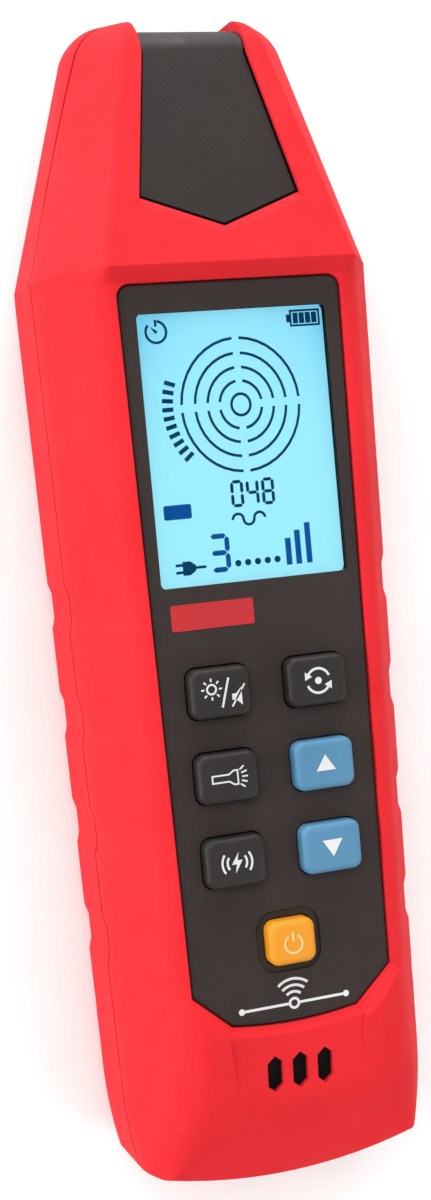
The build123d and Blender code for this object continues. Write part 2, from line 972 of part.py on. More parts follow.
def tongue_form():
    finish = crest_radius + tongue_length
    fade = tongue_depth / tongue_length
    far = finish + spare
    edge = chin_height(far) + fade * (far - finish)
    peak = chin_height(0.0) - fade * finish
    cone = outline([(0, 0, 0), (far, 0, 0), (far, edge, 0), (0, peak, 0)])
    below = revolve(upright(0, y_axis) * cone, Axis((0, y_axis, 0), (0, 0, 1)))
    y0 = y_valley - tongue_length
    y1 = y_valley + valley_margin / 2
    right = [(tongue_half_low, y0, 0), (tongue_half_top, y1, 0)]
    left = [(-x, y, r) for x, y, r in reversed(right)]
    return plate(outline(right + left), face_height - spare, z_crest) - below


def valley_form():
    low = Pos(0, 0, face_height) * panel_outline(valley_margin)
    wider = valley_margin + valley_slant * valley_height
    high = Pos(0, 0, face_height + valley_height) * panel_outline(wider)
    wide = shoulder_width
    return loft([low, high], ruled=True) & block(-wide, wide, y_bottom, y_power, 0, z_crest + spare)


def front_shell(shell, cuts):
    for x, y in case_screws_at():
        shell += post(x, y, seam_height, z_under, pillar_radius) & drawn_hull(pillar_skin)
    for x, y in board_posts():
        shell += post(x, y, z_board, z_panel, post_radius)
    shell -= cuts
    shell -= valley_form()
    shell -= tongue_form()
    shell -= vee_form()
    shell -= plate(panel_outline(panel_fit), z_deck, z_crest + spare) & block(
        -shoulder_width, shoulder_width, y_bottom, y_foot, 0, z_crest + spare
    )
    shell -= plate(window_outline(deck_reveal), 0, z_crest) & block(
        -shoulder_width, shoulder_width, y_bottom, y_top, z_board, z_crest
    )
    for name in keys:
        shell -= plate(key_outline(name, key_fit), z_board, z_crest)
    for slot in slot_outlines():
        shell -= plate(slot, z_board - spare, z_crest)
    shell -= chin_disc(speaker_radius + speaker_fit, -speaker_height, speaker_seat)
    for x, y in case_screws_at():
        tip = screw_seat_height + screw_length + screw_bite_fit
        shell -= post(x, y, 0, tip, screw_radius + screw_bite_fit)
    for x, y in board_posts():
        tip = z_board + board_screw_grip + screw_bite_fit
        shell -= post(x, y, 0, tip, board_screw_radius + screw_bite_fit)
    return shell


def rear_shell(shell, outer, cuts):
    for x, y in case_screws_at():
        shell += post(x, y, 0, seam_height, pillar_radius) & outer
    shell += bay_walls() & outer
    shell += coil_posts() & drawn_hull(coil_post_skin)
    shell -= cuts
    shell -= bay_room()
    shell -= door_form(door_fit, y_bottom - spare, y_door_end + door_fit, -spare)
    for x, y in case_screws_at():
        shell -= post(x, y, 0, z_crest, screw_radius + screw_hole_fit)
        shell -= post(x, y, -spare, screw_seat_height, screw_head_radius + counterbore_fit)
    y_label = y_crest - label_drop
    half = label_width / 2
    return shell - block(-half, half, y_label - label_length, y_label, -spare, label_depth)


def case_halves():
    outer = hull()
    walls = outer - hull(wall, front_wall, tip_wall, False)
    y_back = y_top - cap_back_reach
    pad = block(-cap_corner_half, cap_corner_half, y_back - wall, y_tip, 0, z_pad)
    walls += pad & outer
    cap_pocket = cap_room(0.0) - cap_hull(cap_wall + cap_floor_gap)
    lamp_bore = torch_bore(lamp_radius + lamp_fit, y_tip - spare / 2)
    cuts = seam_ring() + cap_pocket + lamp_bore
    wide = shoulder_width
    low = block(-wide, wide, y_bottom - spare, y_top + spare, -spare, seam_height)
    high = block(-wide, wide, y_bottom - spare, y_top + spare, seam_height, z_crest + spare)
    return front_shell(walls & high, cuts), rear_shell(walls & low, outer, cuts)


front, rear = case_halves()
nodes = {
    "front_shell": front,
    "rear_shell": rear,
    "head_cap": head_cap(),
    "torch_lens": torch_lens(),
    "torch_lamp": torch_lamp(),
    "face_panel": face_panel(),
    "display_lens": display_lens(),
    "display_glass": display_glass(),
    "display_guide": display_guide(),
    "display_frame": display_frame(),
    "contact_strip": strip_block(0.0),
    "keypad_mat": keypad_mat(),
    "key_contacts": key_contacts(),
    "main_board": main_board(),
    "board_chips": board_chips(),
    "board_screws": Compound(children=[board_screw(x, y).solid() for x, y in board_posts()]),
    "case_screws": Compound(children=[case_screw(x, y).solid() for x, y in case_screws_at()]),
    "speaker": speaker(),
    "speaker_cloth": speaker_cloth(),
    "ferrite_rod": ferrite_rod(),
    "coil_bobbin": coil_bobbin(),
    "coil_winding": coil_winding(),
    "field_plate": field_plate(),
    "battery_contacts": battery_contacts(),
    "battery_door": battery_door(),
}
for name in keys:
    nodes[name] = key(name)
for i, (x, nub_up) in enumerate(cell_places):
    nodes[f"battery_cell_{i + 1}"] = cell(x, nub_up)

os.makedirs("parts", exist_ok=True)
for name, shape in nodes.items():
    export_step(shape, f"parts/{name}.step")
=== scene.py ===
import bmesh
import bpy
import math
from mathutils import Matrix, Vector


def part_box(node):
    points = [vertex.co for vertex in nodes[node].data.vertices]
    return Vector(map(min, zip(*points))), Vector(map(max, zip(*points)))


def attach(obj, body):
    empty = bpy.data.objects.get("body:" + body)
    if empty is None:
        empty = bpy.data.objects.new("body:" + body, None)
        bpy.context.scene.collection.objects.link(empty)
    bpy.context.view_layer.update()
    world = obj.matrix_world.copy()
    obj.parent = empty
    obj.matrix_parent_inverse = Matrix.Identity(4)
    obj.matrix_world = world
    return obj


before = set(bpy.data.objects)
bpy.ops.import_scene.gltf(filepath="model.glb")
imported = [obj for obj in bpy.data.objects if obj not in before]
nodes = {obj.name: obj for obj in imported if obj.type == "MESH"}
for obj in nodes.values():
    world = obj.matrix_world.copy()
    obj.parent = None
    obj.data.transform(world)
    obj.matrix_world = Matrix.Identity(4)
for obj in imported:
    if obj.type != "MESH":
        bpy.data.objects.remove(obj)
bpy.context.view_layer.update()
mm = 0.001  # marks are drawn in millimetres, pieces are in metres
fullTurn = 2 * math.pi
print("frame loaded:", len(nodes), "nodes")


# camera, at the angle the tool was photographed from
viewpoint = {
    "place": (-0.10242, 0.01930, 0.31787),
    "right": (0.9429, -0.0916, 0.3203),
    "up": (0.1058, 0.9940, -0.0271),
    "back": (-0.3159, 0.0594, 0.9469),
    "lens": 54.82,
    "sensor": 36.0,  # the long side of the picture
    "near": 0.01,
}


def setCamera(view):
    data = bpy.data.cameras.new("studio_camera")
    data.sensor_width = view["sensor"]
    data.lens = view["lens"]
    data.clip_start = view["near"]
    camera = bpy.data.objects.new("studio_camera", data)
    turn = Matrix((view["right"], view["up"], view["back"])).transposed()
    camera.matrix_world = Matrix.Translation(view["place"]) @ turn.to_4x4()
    bpy.context.scene.collection.objects.link(camera)
    bpy.context.scene.camera = camera


# soft studio light, the main one high on the left, low ones beyond the head and at the left, and a fill
lamps = {
    "main_softbox": {"place": (-0.45, 0.46, 0.74), "size": 0.60, "power": 4.0},
    "side_softbox": {"place": (-0.84, 0.05, 0.16), "size": 0.50, "power": 7.0},
    "head_softbox": {"place": (0.08, 0.95, 0.24), "size": 0.45, "power": 8.5},
    "fill_softbox": {"place": (0.55, -0.45, 0.45), "size": 0.50, "power": 1.8},
}
lampAim = Vector((0, 0, 0.015))
skyGlow = {"colour": (1.0, 1.0, 1.0, 1), "strength": 0.85}


def setLight():
    for name, lamp in lamps.items():
        data = bpy.data.lights.new(name, "AREA")
        data.shape = "SQUARE"
        data.size = lamp["size"]
        data.energy = lamp["power"]
        light = bpy.data.objects.new(name, data)
        light.location = lamp["place"]
        aim = lampAim - light.location
        light.rotation_euler = aim.to_track_quat("-Z", "Y").to_euler()
        bpy.context.scene.collection.objects.link(light)
    world = bpy.data.worlds.new("studio_sky")
    world.use_nodes = True
    sky = world.node_tree.nodes["Background"]
    sky.inputs["Color"].default_value = skyGlow["colour"]
    sky.inputs["Strength"].default_value = skyGlow["strength"]
    bpy.context.scene.world = world
    bpy.context.scene.view_settings.view_transform = "Standard"


setCamera(viewpoint)
setLight()
print("camera and light set")


# small helpers for node trees
def addNode(tree, kind, **settings):
    node = tree.nodes.new(kind)
    for key, value in settings.items():
        setattr(node, key, value)
    return node


def setInputs(node, **values):
    for key, value in values.items():
        node.inputs[key.replace("_", " ")].default_value = value
    return node


def startFinish(name):
    finish = bpy.data.materials.new(name)
    finish.use_nodes = True
    tree = finish.node_tree
    return finish, tree, tree.nodes["Principled BSDF"]


def opaque(colour):
    return (*colour, 1.0)


def objectPlace(tree):
    return addNode(tree, "ShaderNodeTexCoord").outputs["Object"]


def axisOf(tree, vector, axis):
    split = addNode(tree, "ShaderNodeSeparateXYZ")
    tree.links.new(vector, split.inputs[0])
    return split.outputs[axis]


def nearLevel(tree, value, level, half):
    # 1 where the value is within half of the level, 0 elsewhere
    band = addNode(tree, "ShaderNodeMath", operation="COMPARE")
    tree.links.new(value, band.inputs[0])
    band.inputs[1].default_value = level
    band.inputs[2].default_value = half
    return band.outputs[0]


def mixColours(tree, share, first, second):
    # share is a socket, the colours are sockets or plain triples
    # the node's sockets 6 and 7 and its output 2 are the ones for colours
    mix = addNode(tree, "ShaderNodeMix", data_type="RGBA")
    tree.links.new(share, mix.inputs[0])
    for value, place in ((first, mix.inputs[6]), (second, mix.inputs[7])):
        if isinstance(value, tuple):
            place.default_value = opaque(value)
        else:
            tree.links.new(value, place)
    return mix.outputs[2]


def spread(tree, value, low, high, fromLow=0.0, fromHigh=1.0):
    node = addNode(tree, "ShaderNodeMapRange")
    node.inputs["From Min"].default_value = fromLow
    node.inputs["From Max"].default_value = fromHigh
    node.inputs["To Min"].default_value = low
    node.inputs["To Max"].default_value = high
    tree.links.new(value, node.inputs["Value"])
    return node.outputs["Result"]


def useGroup(tree, group, **values):
    node = addNode(tree, "ShaderNodeGroup", node_tree=group)
    return setInputs(node, **values)


def newGroup(name, inputs, outputs):
    group = bpy.data.node_groups.new(name, "ShaderNodeTree")
    for label, value in inputs.items():
        socket = group.interface.new_socket(label, in_out="INPUT", socket_type="NodeSocketFloat")
        socket.default_value = value
    for label, kind in outputs.items():
        group.interface.new_socket(label, in_out="OUTPUT", socket_type=kind)
    return group, group.nodes.new("NodeGroupInput"), group.nodes.new("NodeGroupOutput")


def noiseAt(tree, vector, scale, detail, roughness):
    # scale is a socket or a plain number
    noise = addNode(tree, "ShaderNodeTexNoise")
    tree.links.new(vector, noise.inputs["Vector"])
    if isinstance(scale, float):
        noise.inputs["Scale"].default_value = scale
    else:
        tree.links.new(scale, noise.inputs["Scale"])
    setInputs(noise, Detail=detail, Roughness=roughness)
    return noise.outputs[0]


# spark-eroded mould grain, slow colour drift and patches of gloss, the last two with their scale first
grainValues = {
    "grain": 3400.0, "fine": (2.5, 0.62), "drift": (38.0, 2.0, 0.5), "patch": (210.0, 4.0, 0.6),
    "tone": (0.34, 0.66),
}


def makeGrain(values):
    group, inside, outside = newGroup(
        "mould_grain",
        {"Grain": values["grain"]},
        {"Height": "NodeSocketFloat", "Tone": "NodeSocketFloat", "Patch": "NodeSocketFloat"},
    )
    place = objectPlace(group)
    fine = noiseAt(group, place, inside.outputs["Grain"], *values["fine"])
    drift = noiseAt(group, place, *values["drift"])
    patch = noiseAt(group, place, *values["patch"])
    group.links.new(fine, outside.inputs["Height"])
    group.links.new(spread(group, drift, 0.0, 1.0, *values["tone"]), outside.inputs["Tone"])
    group.links.new(spread(group, patch, 0.0, 1.0, *values["tone"]), outside.inputs["Patch"])
    return group


# edge mask and the soft normal of a moulded edge; where the edge colour it mixes in is lighter it is partly
# wear and partly painted highlight, and where it is darker, as on the panel and the inks, it is painted
# shade along edges and creases
edgeWearLightValues = {"radius": 0.0003, "gain": 2.0, "samples": 6}


def makeEdgeWearLight(values):
    group, inside, outside = newGroup(
        "edge_wear_and_painted_light",
        {"Radius": values["radius"], "Gain": values["gain"]},
        {"Edge": "NodeSocketFloat", "Normal": "NodeSocketVector"},
    )
    bevel = addNode(group, "ShaderNodeBevel", samples=values["samples"])
    group.links.new(inside.outputs["Radius"], bevel.inputs["Radius"])
    face = addNode(group, "ShaderNodeNewGeometry").outputs["Normal"]
    dot = addNode(group, "ShaderNodeVectorMath", operation="DOT_PRODUCT")
    group.links.new(bevel.outputs["Normal"], dot.inputs[0])
    group.links.new(face, dot.inputs[1])
    turnAway = addNode(group, "ShaderNodeMath", operation="SUBTRACT")
    turnAway.inputs[0].default_value = 1.0
    group.links.new(dot.outputs["Value"], turnAway.inputs[1])
    gain = addNode(group, "ShaderNodeMath", operation="MULTIPLY", use_clamp=True)
    group.links.new(turnAway.outputs[0], gain.inputs[0])
    group.links.new(inside.outputs["Gain"], gain.inputs[1])
    group.links.new(gain.outputs[0], outside.inputs["Edge"])
    group.links.new(bevel.outputs["Normal"], outside.inputs["Normal"])
    return group


grainGroup = makeGrain(grainValues)
edgeWearLightGroup = makeEdgeWearLight(edgeWearLightValues)


def addBump(tree, shader, height, depth, normal=None):
    bump = addNode(tree, "ShaderNodeBump")
    setInputs(bump, Strength=1.0, Distance=depth)
    tree.links.new(height, bump.inputs["Height"])
    if normal:
        tree.links.new(normal, bump.inputs["Normal"])
    tree.links.new(bump.outputs["Normal"], shader.inputs["Normal"])


def patchyGloss(tree, shader, grain, rough):
    tree.links.new(spread(tree, grain.outputs["Patch"], *rough), shader.inputs["Roughness"])


def mouldedFinish(name, look):
    finish, tree, shader = startFinish(name)
    grain = useGroup(tree, grainGroup, Grain=look["grain"])
    edgeWearLight = useGroup(tree, edgeWearLightGroup, Radius=look["softEdge"], Gain=look["edgeWearLight"])
    tone = mixColours(tree, grain.outputs["Tone"], look["low"], look["high"])
    # painted highlight and wear along edges, and painted shade where a finish's edge colour is darker
    colour = mixColours(tree, edgeWearLight.outputs["Edge"], tone, look["edge"])
    if "seam" in look:
        # painted shadow: a darker line at the height where the shells meet, standing in for the shade in
        # their joint
        seam = nearLevel(tree, axisOf(tree, objectPlace(tree), "Z"), *look["seam"])
        colour = mixColours(tree, seam, colour, look["seamColour"])
    if "wall" in look:
        # painted shade: walls, and not what faces up or down, are darkened
        normal = addNode(tree, "ShaderNodeNewGeometry").outputs["Normal"]
        wall = nearLevel(tree, axisOf(tree, normal, "Z"), *look["wall"])
        colour = mixColours(tree, wall, colour, look["wallColour"])
    tree.links.new(colour, shader.inputs["Base Color"])
    patchyGloss(tree, shader, grain, look["rough"])
    setInputs(shader, Specular_IOR_Level=look["gloss"], Metallic=look.get("metal", 0.0))
    setInputs(shader, Subsurface_Weight=look.get("glow", 0.0), Subsurface_Scale=mm)
    addBump(tree, shader, grain.outputs["Height"], look["depth"], edgeWearLight.outputs["Normal"])
    return finish


# moulded plastics and rubbers, metals and inks
# the red's seam colour is a painted shadow in the joint between the shells
redMoulding = {
    "low": (0.565, 0.0120, 0.0175), "high": (0.625, 0.0145, 0.0210), "edge": (0.68, 0.022, 0.030),
    "rough": (0.80, 0.92), "gloss": 0.20, "grain": 3400.0, "depth": 0.000014,
    "softEdge": 0.00035, "edgeWearLight": 0.6, "seam": (0.0177, 0.00028), "seamColour": (0.42, 0.006, 0.010),
}
capMoulding = {
    "low": (0.0125, 0.0080, 0.0070), "high": (0.0160, 0.0105, 0.0092), "edge": (0.036, 0.030, 0.028),
    "rough": (0.46, 0.58), "gloss": 0.24, "grain": 2600.0, "depth": 0.000035,
    "softEdge": 0.00035, "edgeWearLight": 1.4,
}
# the panel's wall colour is painted shade on its walls, and its darker edge colour painted shade along its
# edges
panelFoil = {
    "low": (0.0238, 0.0172, 0.0154), "high": (0.0276, 0.0200, 0.0180), "edge": (0.012, 0.009, 0.008),
    "rough": (0.78, 0.88), "gloss": 0.22, "grain": 4600.0, "depth": 0.000012,
    "softEdge": 0.0002, "edgeWearLight": 1.0, "wall": (0.0, 0.5), "wallColour": (0.0012, 0.0010, 0.0010),
}
darkSilicone = {
    "low": (0.0140, 0.0112, 0.0110), "high": (0.0175, 0.0142, 0.0140), "edge": (0.044, 0.038, 0.038),
    "rough": (0.46, 0.56), "gloss": 0.25, "grain": 3000.0, "depth": 0.000022,
    "softEdge": 0.0005, "edgeWearLight": 1.3,
}
blueSilicone = {
    "low": (0.053, 0.167, 0.285), "high": (0.066, 0.193, 0.320), "edge": (0.20, 0.37, 0.50),
    "rough": (0.44, 0.54), "gloss": 0.30, "grain": 3000.0, "depth": 0.000022,
    "softEdge": 0.0005, "edgeWearLight": 2.0, "glow": 0.05,
}
orangeSilicone = {
    "low": (0.57, 0.212, 0.005), "high": (0.62, 0.238, 0.008), "edge": (0.72, 0.37, 0.06),
    "rough": (0.44, 0.54), "gloss": 0.30, "grain": 3000.0, "depth": 0.000022,
    "softEdge": 0.0006, "edgeWearLight": 1.1, "glow": 0.05,
}
whiteMoulding = {
    "low": (0.74, 0.74, 0.72), "high": (0.82, 0.82, 0.80), "edge": (0.90, 0.90, 0.88),
    "rough": (0.40, 0.52), "gloss": 0.40, "grain": 3200.0, "depth": 0.00002,
    "softEdge": 0.0002, "edgeWearLight": 1.0,
}
greyRubber = {
    "low": (0.16, 0.16, 0.165), "high": (0.20, 0.20, 0.205), "edge": (0.26, 0.26, 0.265),
    "rough": (0.55, 0.68), "gloss": 0.30, "grain": 2400.0, "depth": 0.00004,
    "softEdge": 0.0002, "edgeWearLight": 1.0,
}
blackResin = {
    "low": (0.014, 0.014, 0.015), "high": (0.022, 0.022, 0.024), "edge": (0.05, 0.05, 0.053),
    "rough": (0.42, 0.56), "gloss": 0.40, "grain": 2800.0, "depth": 0.00003,
    "softEdge": 0.0002, "edgeWearLight": 1.0,
}
ferriteGround = {
    "low": (0.055, 0.055, 0.060), "high": (0.085, 0.085, 0.090), "edge": (0.14, 0.14, 0.145),
    "rough": (0.36, 0.56), "gloss": 0.50, "grain": 1500.0, "depth": 0.00005,
    "softEdge": 0.0002, "edgeWearLight": 1.5,
}
screwSteel = {
    "low": (0.50, 0.50, 0.51), "high": (0.62, 0.62, 0.63), "edge": (0.78, 0.78, 0.79),
    "rough": (0.26, 0.40), "gloss": 0.50, "grain": 1900.0, "depth": 0.00002,
    "softEdge": 0.0002, "edgeWearLight": 1.5, "metal": 1.0,
}
contactNickel = {
    "low": (0.64, 0.63, 0.60), "high": (0.74, 0.73, 0.70), "edge": (0.86, 0.85, 0.82),
    "rough": (0.20, 0.36), "gloss": 0.50, "grain": 1600.0, "depth": 0.00002,
    "softEdge": 0.0002, "edgeWearLight": 1.5, "metal": 1.0,
}
gildedCopper = {
    "low": (0.66, 0.36, 0.16), "high": (0.78, 0.46, 0.23), "edge": (0.88, 0.60, 0.38),
    "rough": (0.26, 0.42), "gloss": 0.50, "grain": 1800.0, "depth": 0.00003,
    "softEdge": 0.00015, "edgeWearLight": 1.3, "metal": 1.0,
}
speakerCan = {
    "low": (0.060, 0.060, 0.064), "high": (0.085, 0.085, 0.090), "edge": (0.20, 0.20, 0.21),
    "rough": (0.30, 0.46), "gloss": 0.50, "grain": 1700.0, "depth": 0.00003,
    "softEdge": 0.0002, "edgeWearLight": 1.4, "metal": 0.6,
}
lampResin = {
    "low": (0.86, 0.86, 0.78), "high": (0.93, 0.93, 0.87), "edge": (0.97, 0.97, 0.93),
    "rough": (0.12, 0.22), "gloss": 0.55, "grain": 900.0, "depth": 0.00001,
    "softEdge": 0.0002, "edgeWearLight": 1.0,
}
lampDie = {
    "low": (0.80, 0.60, 0.06), "high": (0.88, 0.70, 0.12), "edge": (0.90, 0.76, 0.25),
    "rough": (0.50, 0.62), "gloss": 0.30, "grain": 5200.0, "depth": 0.000008,
    "softEdge": 0.00005, "edgeWearLight": 0.6,
}
whiteInk = {
    "low": (0.52, 0.52, 0.53), "high": (0.57, 0.57, 0.58), "edge": (0.48, 0.48, 0.49),
    "rough": (0.45, 0.58), "gloss": 0.30, "grain": 5200.0, "depth": 0.00001,
    "softEdge": 0.00005, "edgeWearLight": 0.6,
}
labelFoil = {
    "low": (0.48, 0.49, 0.50), "high": (0.55, 0.56, 0.57), "edge": (0.62, 0.62, 0.63),
    "rough": (0.34, 0.46), "gloss": 0.40, "grain": 1400.0, "depth": 0.00002,
    "softEdge": 0.0001, "edgeWearLight": 1.0, "metal": 0.35,
}
creamInk = {
    "low": (0.66, 0.43, 0.20), "high": (0.72, 0.48, 0.24), "edge": (0.62, 0.39, 0.17),
    "rough": (0.45, 0.58), "gloss": 0.30, "grain": 5200.0, "depth": 0.00001,
    "softEdge": 0.00005, "edgeWearLight": 0.6,
}
stripInk = {
    "low": (0.37, 0.014, 0.018), "high": (0.41, 0.018, 0.022), "edge": (0.46, 0.04, 0.045),
    "rough": (0.50, 0.60), "gloss": 0.25, "grain": 4200.0, "depth": 0.000008,
    "softEdge": 0.00008, "edgeWearLight": 0.5,
}

# printed mask and segments of the display; the same black also serves as painted shadow round the head cap
# and in the screw crosses
blackPrintAndShade = {
    "low": (0.0010, 0.0010, 0.0010), "high": (0.0020, 0.0020, 0.0020), "edge": (0.003, 0.003, 0.003),
    "rough": (0.60, 0.70), "gloss": 0.02, "grain": 4800.0, "depth": 0.000004,
    "softEdge": 0.00003, "edgeWearLight": 0.5,
}
segmentInk = {
    "low": (0.0003, 0.032, 0.085), "high": (0.0006, 0.038, 0.098), "edge": (0.001, 0.044, 0.110),
    "rough": (0.50, 0.60), "gloss": 0.02, "grain": 4800.0, "depth": 0.000004,
    "softEdge": 0.00003, "edgeWearLight": 0.5,
}
segmentBlue = {
    "low": (0.0010, 0.056, 0.220), "high": (0.0020, 0.066, 0.255), "edge": (0.003, 0.076, 0.28),
    "rough": (0.50, 0.60), "gloss": 0.02, "grain": 4800.0, "depth": 0.000004,
    "softEdge": 0.00003, "edgeWearLight": 0.5,
}


# thread by thread cloth behind the slots
clothWeave = {
    "threads": 5200.0, "wobble": 0.6, "detail": 1.0,
    "dark": (0.002, 0.002, 0.002), "light": (0.007, 0.007, 0.008),
    "rough": 0.9, "gloss": 0.15, "depth": 0.00004,
}


def clothFinish(name, look):
    finish, tree, shader = startFinish(name)
    place = objectPlace(tree)
    weave = addNode(tree, "ShaderNodeMath", operation="MULTIPLY")
    for direction, threads in (("X", weave.inputs[0]), ("Y", weave.inputs[1])):
        wave = addNode(tree, "ShaderNodeTexWave", bands_direction=direction)
        setInputs(wave, Scale=look["threads"] / fullTurn, Distortion=look["wobble"], Detail=look["detail"])
        tree.links.new(place, wave.inputs["Vector"])
        tree.links.new(wave.outputs["Fac"], threads)
    height = weave.outputs[0]
    tree.links.new(mixColours(tree, height, look["dark"], look["light"]), shader.inputs["Base Color"])
    setInputs(shader, Roughness=look["rough"], Specular_IOR_Level=look["gloss"])
    addBump(tree, shader, height, look["depth"])
    return finish


# lacquered board with paler tracks under the green
boardLook = {
    "green": (0.010, 0.090, 0.030), "track": (0.022, 0.150, 0.052),
    "pitch": 420.0, "shift": 0.37, "width": 0.06, "run": 2.6, "row": 0.34,
    "grain": 900.0, "rough": (0.22, 0.34), "depth": 0.00003,
}


def boardFinish(name, look):
    finish, tree, shader = startFinish(name)
    tracks = addNode(tree, "ShaderNodeTexBrick", offset=look["shift"])
    setInputs(tracks, Scale=look["pitch"], Mortar_Size=look["width"])
    setInputs(tracks, Brick_Width=look["run"], Row_Height=look["row"])
    tree.links.new(objectPlace(tree), tracks.inputs["Vector"])
    colour = mixColours(tree, tracks.outputs["Fac"], look["green"], look["track"])
    tree.links.new(colour, shader.inputs["Base Color"])
    patchyGloss(tree, shader, useGroup(tree, grainGroup, Grain=look["grain"]), look["rough"])
    addBump(tree, shader, tracks.outputs["Fac"], look["depth"])
    return finish


# printed jacket with bare metal ends, the cells lie along Y
cellLook = {
    "jacket": (0.060, 0.075, 0.095), "band": (0.36, 0.39, 0.43), "steel": (0.66, 0.65, 0.63),
    "endLength": 0.0014, "bandLength": 0.011, "metal": (0.35, 1.0),
    "grain": 1200.0, "rough": (0.24, 0.36), "depth": 0.000008,
}


def cellFinish(name, look):
    low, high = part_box("battery_cell_1")
    middle, half = (low.y + high.y) / 2, (high.y - low.y) / 2
    finish, tree, shader = startFinish(name)
    fromMiddle = addNode(tree, "ShaderNodeMath", operation="SUBTRACT")
    tree.links.new(axisOf(tree, objectPlace(tree), "Y"), fromMiddle.inputs[0])
    fromMiddle.inputs[1].default_value = middle
    away = addNode(tree, "ShaderNodeMath", operation="ABSOLUTE")
    tree.links.new(fromMiddle.outputs[0], away.inputs[0])
    edges = []
    for start in (half - look["bandLength"], half - look["endLength"]):
        step = addNode(tree, "ShaderNodeMath", operation="GREATER_THAN")
        tree.links.new(away.outputs[0], step.inputs[0])
        step.inputs[1].default_value = start
        edges.append(step.outputs[0])
    printed = mixColours(tree, edges[0], look["jacket"], look["band"])
    colour = mixColours(tree, edges[1], printed, look["steel"])
    tree.links.new(colour, shader.inputs["Base Color"])
    tree.links.new(spread(tree, edges[1], *look["metal"]), shader.inputs["Metallic"])
    grain = useGroup(tree, grainGroup, Grain=look["grain"])
    patchyGloss(tree, shader, grain, look["rough"])
    addBump(tree, shader, grain.outputs["Height"], look["depth"])
    return finish


# backlit glass, brightest at its foot and dim in its upper corners, with faint rubbing lines
displayLook = {
    "drop": 0.0224, "stretch": (2.0, 1.0, 1.0), "reach": 0.052, "power": 6.0,
    "bright": (0.378, 0.882, 1.0), "dim": (0.20, 0.65, 0.91),
    "base": (0.05, 0.15, 0.19), "glow": 0.76, "gloss": 0.04,
    "lines": 5200.0, "wobble": 0.3, "rough": (0.46, 0.56),
}


def displayFinish(name, look):
    low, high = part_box("display_glass")
    finish, tree, shader = startFinish(name)
    place = objectPlace(tree)
    wide = addNode(tree, "ShaderNodeVectorMath", operation="MULTIPLY")
    tree.links.new(place, wide.inputs[0])
    wide.inputs[1].default_value = look["stretch"]
    away = addNode(tree, "ShaderNodeVectorMath", operation="DISTANCE")
    tree.links.new(wide.outputs[0], away.inputs[0])
    away.inputs[1].default_value = (0, (low.y + high.y) / 2 - look["drop"], high.z)
    fall = spread(tree, away.outputs["Value"], 0.0, 1.0, 0.0, look["reach"])
    soft = addNode(tree, "ShaderNodeMath", operation="POWER", use_clamp=True)
    tree.links.new(fall, soft.inputs[0])
    soft.inputs[1].default_value = look["power"]
    glow = mixColours(tree, soft.outputs[0], look["bright"], look["dim"])
    tree.links.new(glow, shader.inputs["Emission Color"])
    lines = addNode(tree, "ShaderNodeTexWave", bands_direction="X")
    setInputs(lines, Scale=look["lines"] / fullTurn, Distortion=look["wobble"])
    tree.links.new(place, lines.inputs["Vector"])
    tree.links.new(spread(tree, lines.outputs["Fac"], *look["rough"]), shader.inputs["Roughness"])
    setInputs(shader, Base_Color=opaque(look["base"]), Emission_Strength=look["glow"])
    setInputs(shader, Specular_IOR_Level=look["gloss"])
    return finish


# clear mouldings, polished with a little smear, the window with a low-reflection coat
torchLook = {
    "tint": (0.97, 0.99, 1.0), "grain": 700.0, "rough": (0.01, 0.05), "ior": 1.25,
    "coat": 0.0, "coatRough": 0.03,
}
windowLook = {
    "tint": (0.97, 0.99, 1.0), "grain": 700.0, "rough": (0.01, 0.05), "ior": 1.02,
    "coat": 0.03, "coatRough": 0.03,
}


def clearFinish(name, look):
    finish, tree, shader = startFinish(name)
    patchyGloss(tree, shader, useGroup(tree, grainGroup, Grain=look["grain"]), look["rough"])
    setInputs(shader, Base_Color=opaque(look["tint"]), Transmission_Weight=1.0, IOR=look["ior"])
    setInputs(shader, Coat_Weight=look["coat"], Coat_Roughness=look["coatRough"])
    return finish


redFinish = mouldedFinish("red_moulding", redMoulding)
capFinish = mouldedFinish("cap_moulding", capMoulding)
panelFinish = mouldedFinish("panel_foil", panelFoil)
darkKeyFinish = mouldedFinish("dark_silicone", darkSilicone)
blueKeyFinish = mouldedFinish("blue_silicone", blueSilicone)
orangeKeyFinish = mouldedFinish("orange_silicone", orangeSilicone)
whiteFinish = mouldedFinish("white_moulding", whiteMoulding)
rubberFinish = mouldedFinish("grey_rubber", greyRubber)
resinFinish = mouldedFinish("black_resin", blackResin)
ferriteFinish = mouldedFinish("ground_ferrite", ferriteGround)
steelFinish = mouldedFinish("screw_steel", screwSteel)
nickelFinish = mouldedFinish("contact_nickel", contactNickel)
copperFinish = mouldedFinish("gilded_copper", gildedCopper)
canFinish = mouldedFinish("speaker_can", speakerCan)
lampFinish = mouldedFinish("lamp_resin", lampResin)
dieFinish = mouldedFinish("lamp_die", lampDie)
inkFinish = mouldedFinish("white_ink", whiteInk)
labelFinish = mouldedFinish("label_foil", labelFoil)
creamFinish = mouldedFinish("cream_ink", creamInk)
stripFinish = mouldedFinish("strip_ink", stripInk)
blackPrintAndShadeFinish = mouldedFinish("black_print_and_painted_shade", blackPrintAndShade)
segmentFinish = mouldedFinish("segment_ink", segmentInk)
segmentBlueFinish = mouldedFinish("segment_blue", segmentBlue)
meshClothFinish = clothFinish("mesh_cloth", clothWeave)
greenFinish = boardFinish("board_lacquer", boardLook)
jacketFinish = cellFinish("cell_jacket", cellLook)
glowFinish = displayFinish("display_glow", displayLook)
windowFinish = clearFinish("clear_window", windowLook)
torchFinish = clearFinish("torch_glass", torchLook)

